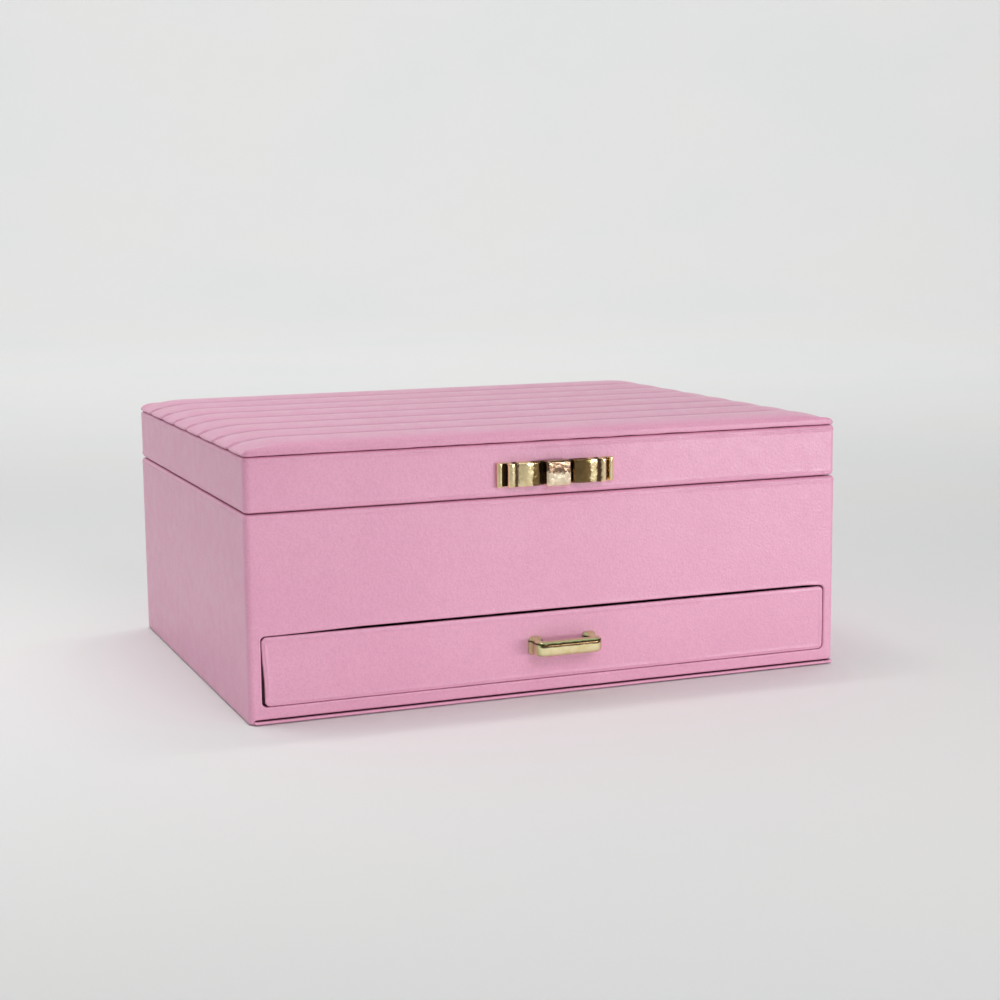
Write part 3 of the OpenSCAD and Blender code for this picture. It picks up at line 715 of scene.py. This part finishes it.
def bow(ribbon_gold, knot_gold, shade_black):
    """A flat ribbon bow: a strap with hemmed ends, two loops, a square knot and a near-black plate of
    painted shade that shows in the gaps between them."""
    end = BOW_HIGH.x - BOW_X
    hem = [(end - 2.1, 1.7), (end - 1.3, 2.0), (end - 0.7, 1.75), (end - 0.4, 1.15),
           (end - 0.9, 0.55), (end - 2.2, 0.42)]
    strap = [(-x, h) for x, h in hem] + [(0.0, 0.42)] + hem[::-1]
    ribbon_piece("bow_strap", strap, STRAP_W, ribbon_gold)
    # Painted shade: a near-black plate under the loops, seen only in the gaps where shade falls.
    plate_end = end - 2.3
    ribbon_piece("bow_shade_plate", [(-plate_end, 0.7), (0.0, 0.7), (plate_end, 0.7)], STRAP_W - 0.5, shade_black)
    fold = [(19.3 + 1.1 * math.cos(a), 2.75 + 1.35 * math.sin(a))
            for a in (math.radians(d) for d in spread(-90, 90, 6))]
    loop = [(7.0, 1.5), (10.0, 1.4), (14.0, 1.35)] + fold
    loop += [(18.2, 3.85), (FOLD_VALLEY, 3.2), (15.6, 3.4), (13.0, 3.7), (10.4, 3.6), (8.4, 3.25),
             (7.3, 2.6), (6.8, 1.6)]
    ribbon_piece("bow_right_loop", loop, LOOP_W, ribbon_gold)
    ribbon_piece("bow_left_loop", loop, LOOP_W, ribbon_gold, mirrored=True)
    bow_knot(knot_gold)


def bar_handle(material):
    """A bar with rounded edges that bends back on two legs, flared where they meet the drawer."""
    face = FRONT_LOW.y
    middle = (HANDLE_LOW.z + HANDLE_HIGH.z) / 2
    shift = (HANDLE_LOW.x + HANDLE_HIGH.x) / 2
    reach = face - HANDLE_LOW.y
    thick = 4.0
    height = 6.1
    leg = 13.5 - thick / 2
    splay = 0.6
    line = reach - thick / 2
    bend = 1.9
    turn = [(leg + splay - bend + bend * math.cos(a), line - bend + bend * math.sin(a))
            for a in (math.radians(d) for d in spread(0, 90, 6))]
    right = [(leg + splay * h / line, h) for h in (0.0, 0.5, 1.0, 1.6, 2.6)] + turn + [(5.0, line)]
    points = right + [(-x, h) for x, h in right[::-1]]
    path = smooth_path([Vector((shift + x, h)) for x, h in points], 0.6)

    def size_at(point):
        flare = 1 - smooth_step(point.y / 2.6)
        return thick + 2.2 * flare, height + 1.5 * flare

    skin = Skin()
    swept(skin, path, size_at, 1.75, face, middle)
    piece = soften(mesh_object("bar_handle", skin, material))
    return finish(piece, "drawer", "gold_plate", "drawer_handle")


# ---- Velvet inside ----

SOFT_EDGE = 0.45


def soft_box(node, body, slot, material):
    """A covered card or board: the CAD node's box with rounded edges."""
    low, high = box_mm(node)
    work = bmesh.new()
    bmesh.ops.create_cube(work, size=1.0)
    size = high - low
    for vertex in work.verts:
        vertex.co = Vector([(low[i] + high[i]) / 2 + vertex.co[i] * size[i] for i in range(3)]) * MM
    bmesh.ops.bevel(work, geom=work.edges[:], offset=min(SOFT_EDGE, min(size) * 0.42) * MM,
                    segments=3, profile=0.5, affect="EDGES")
    mesh = bpy.data.meshes.new(node + "_cover")
    work.to_mesh(mesh)
    work.free()
    mesh.polygons.foreach_set("use_smooth", [True] * len(mesh.polygons))
    mesh.materials.append(material)
    piece = bpy.data.objects.new(mesh.name, mesh)
    bpy.context.scene.collection.objects.link(piece)
    weighted = piece.modifiers.new("flat faces", "WEIGHTED_NORMAL")
    weighted.keep_sharp = True
    apply_modifiers(piece)
    return finish(piece, body, slot, node)


RING_ROLLS = 7


def ring_rolls(material):
    """Soft velvet rolls, side by side on their block, gathered at the ends."""
    low, high = box_mm("ring_rolls")
    pitch = (high.y - low.y) / RING_ROLLS
    radius = (high.z - low.z) * 0.53
    around = 24
    for number in range(RING_ROLLS):
        middle_y = low.y + (number + 0.5) * pitch
        middle_z = high.z - radius
        skin = Skin()
        loops = []
        ends = [0.0, 0.25, 0.9, 2.0, 3.6, 5.5]
        stations = [low.x + e for e in ends] + spread(low.x + 8, high.x - 8, 22)
        stations += [high.x - e for e in ends[::-1]]
        for x in stations:
            inside = min(x - low.x, high.x - x)
            full = 0.35 + 0.65 * math.sqrt(1 - (1 - min(1.0, inside / 5.5)) ** 2)
            points = []
            for i in range(around):
                angle = 2 * math.pi * i / around
                gather = 1 + 0.05 * math.sin(6 * angle + number) * (1 - min(1.0, inside / 6))
                r = radius * full * gather + 0.16 * wobble(x, i, number * 9, 9, number)
                y = middle_y + min(pitch / 2 - 0.1, r) * math.cos(angle) * 1.02
                z = max(low.z + 0.1, middle_z + r * math.sin(angle))
                points.append((x, y, z))
            loops.append(skin.loop(points))
        skin.stack(loops)
        skin.faces.append(tuple(loops[0][::-1]))
        skin.faces.append(tuple(loops[-1]))
        piece = soften(mesh_object(f"ring_roll_{number + 1}", skin, material))
        finish(piece, "case", "velvet", "ring_rolls")


# ---- Materials ----

class Paint:
    """A node material and short ways to add to it."""

    def __init__(self, name, material=None):
        self.material = material or bpy.data.materials.new(name)
        self.material.use_nodes = True
        self.tree = self.material.node_tree
        self.shader = self.tree.nodes["Principled BSDF"]
        self.coords = self.tree.nodes.new("ShaderNodeTexCoord").outputs["Object"]

    def link(self, out, into):
        self.tree.links.new(out, into)

    def set(self, **values):
        for name, value in values.items():
            self.shader.inputs[name.replace("_", " ")].default_value = value

    def stretched(self, scale):
        """Object coordinates multiplied by a scale along each axis."""
        mapping = self.tree.nodes.new("ShaderNodeMapping")
        mapping.inputs["Scale"].default_value = scale
        self.link(self.coords, mapping.inputs["Vector"])
        return mapping.outputs["Vector"]

    def noise(self, size_mm, detail=2.0, rough=0.5, vector=None):
        """Noise with features of about a size in millimetres."""
        node = self.tree.nodes.new("ShaderNodeTexNoise")
        node.inputs["Scale"].default_value = 1 / (size_mm * MM)
        node.inputs["Detail"].default_value = detail
        node.inputs["Roughness"].default_value = rough
        self.link(vector or self.coords, node.inputs["Vector"])
        return node.outputs["Fac"]

    def pebbles(self, size_mm):
        """Rounded cells of about a size in millimetres."""
        node = self.tree.nodes.new("ShaderNodeTexVoronoi")
        node.feature = "SMOOTH_F1"
        node.inputs["Scale"].default_value = 1 / (size_mm * MM)
        self.link(self.coords, node.inputs["Vector"])
        return node.outputs["Distance"]

    def range(self, value, low, high, into_low=0.0, into_high=1.0):
        """Rescales a value from one range to another, with soft ends."""
        node = self.tree.nodes.new("ShaderNodeMapRange")
        node.interpolation_type = "SMOOTHSTEP"
        self.link(value, node.inputs["Value"])
        for name, number in [("From Min", low), ("From Max", high),
                             ("To Min", into_low), ("To Max", into_high)]:
            node.inputs[name].default_value = number
        return node.outputs["Result"]

    def mix(self, share, first, second):
        """Mixes two colours, either of which may be another node's."""
        node = self.tree.nodes.new("ShaderNodeMix")
        node.data_type = "RGBA"
        self.link(share, node.inputs[0])
        for socket, colour in ((node.inputs[6], first), (node.inputs[7], second)):
            if isinstance(colour, tuple):
                socket.default_value = (*colour, 1.0)
            else:
                self.link(colour, socket)
        return node.outputs[2]

    def place(self, axis):
        """A point's place along an axis, in millimetres."""
        split = self.tree.nodes.new("ShaderNodeSeparateXYZ")
        self.link(self.coords, split.inputs["Vector"])
        node = self.tree.nodes.new("ShaderNodeMath")
        node.operation = "MULTIPLY"
        self.link(split.outputs[axis], node.inputs[0])
        node.inputs[1].default_value = 1 / MM
        return node.outputs[0]

    def away(self, value, middle):
        """How far a value is from a number, either way."""
        shift = self.tree.nodes.new("ShaderNodeMath")
        shift.operation = "SUBTRACT"
        self.link(value, shift.inputs[0])
        shift.inputs[1].default_value = middle
        size = self.tree.nodes.new("ShaderNodeMath")
        size.operation = "ABSOLUTE"
        self.link(shift.outputs[0], size.inputs[0])
        return size.outputs[0]

    def add(self, first, second, weight):
        """first + weight * second."""
        node = self.tree.nodes.new("ShaderNodeMath")
        node.operation = "MULTIPLY_ADD"
        self.link(second, node.inputs[0])
        node.inputs[1].default_value = weight
        self.link(first, node.inputs[2])
        return node.outputs[0]

    def bump(self, height, depth_mm, strength):
        """Relief from a height, as deep as a size in millimetres."""
        node = self.tree.nodes.new("ShaderNodeBump")
        node.inputs["Distance"].default_value = depth_mm * MM
        node.inputs["Strength"].default_value = strength
        self.link(height, node.inputs["Height"])
        self.link(node.outputs["Normal"], self.shader.inputs["Normal"])


def leatherette(name, base, deep, gloss=0.36, shine=0.55, grain_depth=0.36):
    """Coated cloth with a fine pebble grain and faint mottling."""
    paint = Paint(name)
    mottle = paint.range(paint.add(paint.noise(30, 2), paint.noise(4.5, 3), 0.5), 0.6, 0.9)
    broad = paint.mix(mottle, base, deep)
    valleys = paint.range(paint.noise(0.8, 2), 0.35, 0.7, 0.0, 0.5)
    paint.link(paint.mix(valleys, broad, tuple(c * 0.86 for c in deep)), paint.shader.inputs["Base Color"])
    grain = paint.add(paint.pebbles(0.9), paint.noise(0.4, 2), 0.4)
    grain = paint.add(grain, paint.noise(4.5, 2), 0.5)
    paint.bump(grain, 0.16, grain_depth)
    paint.link(paint.range(paint.noise(6, 3), 0.3, 0.7, gloss - 0.05, gloss + 0.05),
               paint.shader.inputs["Roughness"])
    paint.set(Specular_IOR_Level=shine)
    return paint.material


def quilted(name, base, deep, seam):
    """Leatherette with painted shade: its colour deepens in the seams between the channels, where shade
    falls.
    """
    material = leatherette(name, base, deep, 0.335, 0.5, 0.2)
    paint = Paint(name, material)
    pitch = (PAD_HIGH.y - PAD_LOW.y) / CHANNELS
    # Painted shade: a soft darker band either side of each seam line.
    shade = None
    for number in range(1, CHANNELS):
        near = paint.away(paint.place("Y"), PAD_LOW.y + number * pitch)
        line = paint.range(near, 1.2, 3.4, 0.55, 0.0)
        shade = line if shade is None else paint.add(shade, line, 1.0)
    colour = paint.shader.inputs["Base Color"].links[0].from_socket
    paint.link(paint.mix(shade, colour, seam), paint.shader.inputs["Base Color"])
    return material


def gold(name, tone, shadow, rough, painted_marks=()):
    """Polished plating on a casting, with slow ripples, a faint tarnish, and painted shade and reflections.
    Each painted mark is a function that gives its mask, and its colour."""
    paint = Paint(name)
    stain = paint.range(paint.noise(3.2, 3), 0.4, 0.75)
    colour = paint.mix(stain, tone, shadow)
    # Painted shade and reflections, laid over the plating's colour.
    for mask, dark in painted_marks:
        colour = paint.mix(mask(paint), colour, dark)
    paint.link(colour, paint.shader.inputs["Base Color"])
    ripple = paint.add(paint.noise(2.6, 1), paint.noise(0.5, 2), 0.08)
    paint.bump(ripple, 0.16, 0.5)
    paint.link(paint.range(paint.noise(1.5, 2), 0.3, 0.7, rough * 0.8, rough * 1.3),
               paint.shader.inputs["Roughness"])
    paint.set(Metallic=1.0)
    return paint.material


def knot_shade_mask(paint):
    """Painted shade: dark where the bow's loops dive under the knot, with a ragged edge."""
    ragged = paint.add(paint.away(paint.place("X"), BOW_X + 1.5), paint.noise(1.6, 3, 0.6), -3.5)
    return paint.range(ragged, 10.0, 10.9, 0.95, 0.0)


def fold_reflection_mask(paint):
    """Painted dark reflection in the valley beside each loop's fold."""
    ragged = paint.add(paint.away(paint.place("X"), BOW_X), paint.noise(1.1, 3, 0.6), 1.6)
    return paint.range(paint.away(ragged, FOLD_VALLEY + 1.1), 0.5, 1.3, 0.95, 0.0)


def knot_top_reflection_mask(paint):
    """Painted dark reflection over the knot's upper half, with a ragged edge."""
    ragged = paint.add(paint.place("Z"), paint.noise(1.5, 3, 0.6), -5.0)
    return paint.range(ragged, BOW_Z - 2.6, BOW_Z - 2.0, 0.0, 0.9)


def reflection_band(low, high):
    """A mask for a band of painted reflection along the handle, between two heights over its middle line."""
    soft = 0.25
    middle = (HANDLE_LOW.z + HANDLE_HIGH.z) / 2 + (low + high) / 2
    half = (high - low) / 2

    def mask(paint):
        height = paint.add(paint.place("Z"), paint.noise(2.5, 2), 0.5)
        return paint.range(paint.away(height, middle + 0.25), half - soft, half + soft, 1.0, 0.0)

    return mask


def leg_reflection_mask(paint):
    """Painted reflection: greener gold on the handle's legs."""
    return paint.range(paint.place("Y"), HANDLE_LOW.y + 0.6, HANDLE_LOW.y + 1.6, 0.0, 0.95)


def velvet(name, base, deep):
    """Short flocked pile that catches light at its edges."""
    paint = Paint(name)
    brushed = paint.range(paint.noise(14, 3), 0.35, 0.65)
    pile = paint.noise(0.35, 2)
    colour = paint.mix(brushed, base, deep)
    paint.link(paint.mix(paint.range(pile, 0.35, 0.7), colour, tuple(c * 0.86 for c in deep)),
               paint.shader.inputs["Base Color"])
    paint.bump(paint.add(pile, paint.noise(6, 2), 0.8), 0.12, 0.5)
    paint.link(paint.range(paint.noise(2, 2), 0.3, 0.7, 0.82, 0.95), paint.shader.inputs["Roughness"])
    paint.set(Sheen_Weight=0.7, Sheen_Roughness=0.35)
    return paint.material


def felt(name, base, deep):
    """Thin pressed felt with loose fibres."""
    paint = Paint(name)
    fibres = paint.noise(0.6, 4, 0.7)
    paint.link(paint.mix(paint.range(fibres, 0.3, 0.7), base, deep), paint.shader.inputs["Base Color"])
    paint.bump(fibres, 0.2, 0.6)
    paint.link(paint.range(paint.noise(3, 2), 0.3, 0.7, 0.88, 0.98), paint.shader.inputs["Roughness"])
    return paint.material


def fibreboard(name):
    """Near-black pressed board, speckled with short fibres; its darkness is painted shade, so that gaps
    where it shows read dark.
    """
    paint = Paint(name)
    fibres = paint.noise(1.1, 4, 0.65, paint.stretched((1.0, 0.4, 0.7)))
    # Painted shade: the board is coloured near black so that the gaps where it shows stay dark.
    paint.link(paint.mix(paint.range(fibres, 0.3, 0.7), (0.075, 0.055, 0.042), (0.05, 0.036, 0.028)),
               paint.shader.inputs["Base Color"])
    paint.bump(fibres, 0.1, 0.4)
    paint.link(paint.range(paint.noise(5, 2), 0.3, 0.7, 0.7, 0.85), paint.shader.inputs["Roughness"])
    return paint.material


def brushed_metal(name, tone, shadow, rough):
    """Stamped metal with fine scratches along X."""
    paint = Paint(name)
    scratches = paint.noise(0.25, 3, 0.6, paint.stretched((0.08, 1.0, 1.0)))
    paint.link(paint.mix(paint.range(paint.noise(4, 3), 0.35, 0.7), tone, shadow),
               paint.shader.inputs["Base Color"])
    paint.bump(scratches, 0.02, 0.4)
    paint.link(paint.range(scratches, 0.3, 0.7, rough * 0.8, rough * 1.3),
               paint.shader.inputs["Roughness"])
    paint.set(Metallic=1.0)
    return paint.material


def mirror_glass(name):
    """Silvered glass with a trace of haze."""
    paint = Paint(name)
    haze = paint.noise(30, 3)
    paint.link(paint.mix(paint.range(haze, 0.3, 0.7), (0.93, 0.95, 0.95), (0.9, 0.93, 0.93)),
               paint.shader.inputs["Base Color"])
    paint.link(paint.range(haze, 0.3, 0.7, 0.012, 0.03), paint.shader.inputs["Roughness"])
    paint.set(Metallic=1.0)
    return paint.material


# ---- Camera, floor and light ----

TARGET = Vector((13.4, 0.0, 63.4)) * MM
CAMERA_TURN = math.radians(-21.65)
CAMERA_RISE = math.radians(8.52)
CAMERA_ROLL = math.radians(-0.55)
CAMERA_AWAY = 830.6 * MM
LENS_MM = 68.1


def add_camera():
    """The camera, in front, a little to the left and a little above."""
    data = bpy.data.cameras.new("camera")
    data.sensor_width = 36
    data.lens = LENS_MM
    data.clip_start = 0.01
    back = Vector((math.sin(CAMERA_TURN) * math.cos(CAMERA_RISE),
                   -math.cos(CAMERA_TURN) * math.cos(CAMERA_RISE), math.sin(CAMERA_RISE)))
    right = (-back).cross(Vector((0, 0, 1))).normalized()
    up = right.cross(-back)
    turned = right * math.cos(CAMERA_ROLL) + up * math.sin(CAMERA_ROLL)
    raised = up * math.cos(CAMERA_ROLL) - right * math.sin(CAMERA_ROLL)
    camera = bpy.data.objects.new("camera", data)
    camera.matrix_world = (Matrix.Translation(TARGET + back * CAMERA_AWAY)
                           @ Matrix((turned, raised, back)).transposed().to_4x4())
    bpy.context.scene.collection.objects.link(camera)
    bpy.context.scene.camera = camera


def stage_material():
    """Pale seamless paper."""
    paint = Paint("studio_paper")
    fleck = paint.range(paint.noise(400, 2), 0.3, 0.7)
    paint.link(paint.mix(fleck, (0.80, 0.81, 0.81), (0.82, 0.82, 0.81)), paint.shader.inputs["Base Color"])
    paint.set(Roughness=0.95)
    return paint.material


def add_stage():
    """A round studio cove: a floor that curves up into a wall."""
    skin = Skin()
    flat = 2200.0
    bend = 1400.0
    wall = 4200.0
    around = 64
    profile = [(5.0, 0.0), (300.0, 0.0), (flat / 2, 0.0), (flat, 0.0)]
    profile += [(flat + bend * math.sin(a), bend * (1 - math.cos(a)))
                for a in (math.radians(d) for d in spread(10, 90, 8))]
    profile += [(flat + bend, wall)]
    loops = []
    for radius, z in profile:
        loops.append(skin.loop([(radius * math.cos(a), radius * math.sin(a), z)
                                for a in (2 * math.pi * i / around for i in range(around))]))
    skin.stack(loops)
    skin.faces.append(tuple(loops[0][::-1]))
    floor = mesh_object("studio_cove", skin, stage_material())
    work = bmesh.new()
    work.from_mesh(floor.data)
    bmesh.ops.reverse_faces(work, faces=work.faces)
    work.to_mesh(floor.data)
    work.free()


def add_area(name, place, aim, size, power, beam=180):
    """A soft rectangular light. A beam under 180 degrees keeps its light together."""
    data = bpy.data.lights.new(name, "AREA")
    data.shape = "RECTANGLE"
    data.size, data.size_y = size
    data.energy = power
    data.spread = math.radians(beam)
    light = bpy.data.objects.new(name, data)
    direction = Vector(aim) - Vector(place)
    light.matrix_world = Matrix.Translation(place) @ direction.to_track_quat("-Z", "Y").to_matrix().to_4x4()
    bpy.context.scene.collection.objects.link(light)


def add_lights():
    """Soft lights: low on the right, in front, on the ground, and on the wall behind; an even sky."""
    add_area("low_light", (0.85, -1.15, 0.06), (0.05, -0.1, 0.05), (0.9, 0.11), 0.68, beam=60)
    add_area("fill_light", (0.1, -1.05, 0.6), (0.1, -0.25, 0.0), (0.6, 0.4), 0.37, beam=50)
    add_area("floor_light", (-0.5, 0.15, 1.1), (-0.36, 0.0, 0.0), (0.4, 0.6), 0.42, beam=50)
    add_area("wall_light", (0.3, 0.6, 2.6), (0.5, 3.4, 1.0), (2.6, 0.8), 50)
    world = bpy.data.worlds.new("sky")
    world.use_nodes = True
    background = world.node_tree.nodes["Background"]
    background.inputs["Color"].default_value = (1.0, 1.0, 1.0, 1.0)
    background.inputs["Strength"].default_value = 0.53
    bpy.context.scene.world = world


# ---- The chest ----

PINK = (0.83, 0.395, 0.56)
DEEP_PINK = (0.81, 0.375, 0.54)
# Painted shade colour for the seams of the quilted panel.
SEAM_SHADE_PINK = (0.50, 0.17, 0.29)
# Painted shade where the bow's loops dive under the knot.
KNOT_SHADE_BROWN = (0.17, 0.10, 0.035)
# Painted dark reflection beside each loop's fold.
FOLD_REFLECTION_DARK = (0.10, 0.04, 0.025)

add_camera()
add_stage()
add_lights()
bpy.context.scene.view_settings.view_transform = "Standard"

COVER = leatherette("leatherette", PINK, DEEP_PINK)
QUILT = quilted("quilted_leatherette", (0.80, 0.365, 0.525), (0.78, 0.35, 0.51), SEAM_SHADE_PINK)
RIBBON_GOLD = gold("ribbon_gold", (1.0, 0.82, 0.48), (0.88, 0.67, 0.36), 0.1,
                   [(knot_shade_mask, KNOT_SHADE_BROWN), (fold_reflection_mask, FOLD_REFLECTION_DARK)])
# Painted dark reflection over the upper half of the knot.
KNOT_GOLD = gold("knot_gold", (0.95, 0.78, 0.58), (0.86, 0.66, 0.46), 0.12,
                 [(knot_top_reflection_mask, (0.16, 0.085, 0.05))])
# Painted reflections on the handle: a brown band and a black line on the bar's upper front, an olive top and
# olive legs.
HANDLE_GOLD = gold("handle_gold", (0.93, 0.85, 0.50), (0.86, 0.75, 0.38), 0.15,
                   [(reflection_band(0.8, 1.9), (0.13, 0.08, 0.04)), (reflection_band(2.3, 9.0), (0.66, 0.82, 0.38)),
                    (leg_reflection_mask, (0.66, 0.80, 0.38)), (reflection_band(1.7, 2.3), (0.05, 0.03, 0.01))])
# Painted shade: the near-black finish of the bow's gap plate.
SHADE_PLATE_BLACK = gold("painted_shade_black", (0.03, 0.02, 0.012), (0.05, 0.03, 0.02), 0.4)
VELVET = velvet("velvet", (0.74, 0.56, 0.55), (0.66, 0.47, 0.47))
NODE_MATERIALS = {
    "leatherette": COVER,
    "quilted_leatherette": QUILT,
    "fibreboard": fibreboard("fibreboard"),
    "velvet": VELVET,
    "underside_felt": felt("underside_felt", (0.48, 0.30, 0.34), (0.38, 0.22, 0.27)),
    "foam": felt("foam", (0.80, 0.76, 0.66), (0.70, 0.66, 0.56)),
    "mirror_glass": mirror_glass("mirror_glass"),
    "gold_plate": HANDLE_GOLD,
    "hinge_brass": brushed_metal("hinge_brass", (0.78, 0.60, 0.32), (0.68, 0.50, 0.25), 0.26),
    "steel": brushed_metal("steel", (0.62, 0.62, 0.63), (0.5, 0.5, 0.52), 0.32),
}

for part in frame["record"]["subparts"]:
    node = frame["nodes"][part["node"]]
    node.data.materials.clear()
    node.data.materials.append(NODE_MATERIALS[part["material_slot"]])

case_cover(COVER)
lid_cover(COVER)
drawer_front_cover(COVER)
base_cover(COVER)
quilted_panel(QUILT)
bow(RIBBON_GOLD, KNOT_GOLD, SHADE_PLATE_BLACK)
bar_handle(HANDLE_GOLD)
ring_rolls(VELVET)

SOFT_BOXES = {
    "case": ["bay_felt", "front_liner", "back_liner", "left_liner", "right_liner", "floor_liner",
             "ring_block", "long_divider", "left_cross_divider", "right_cross_divider"],
    "drawer": ["drawer_left_side", "drawer_right_side", "drawer_back", "drawer_long_divider"],
}
for body, nodes in SOFT_BOXES.items():
    for node in nodes:
        soft_box(node, body, "velvet", VELVET)
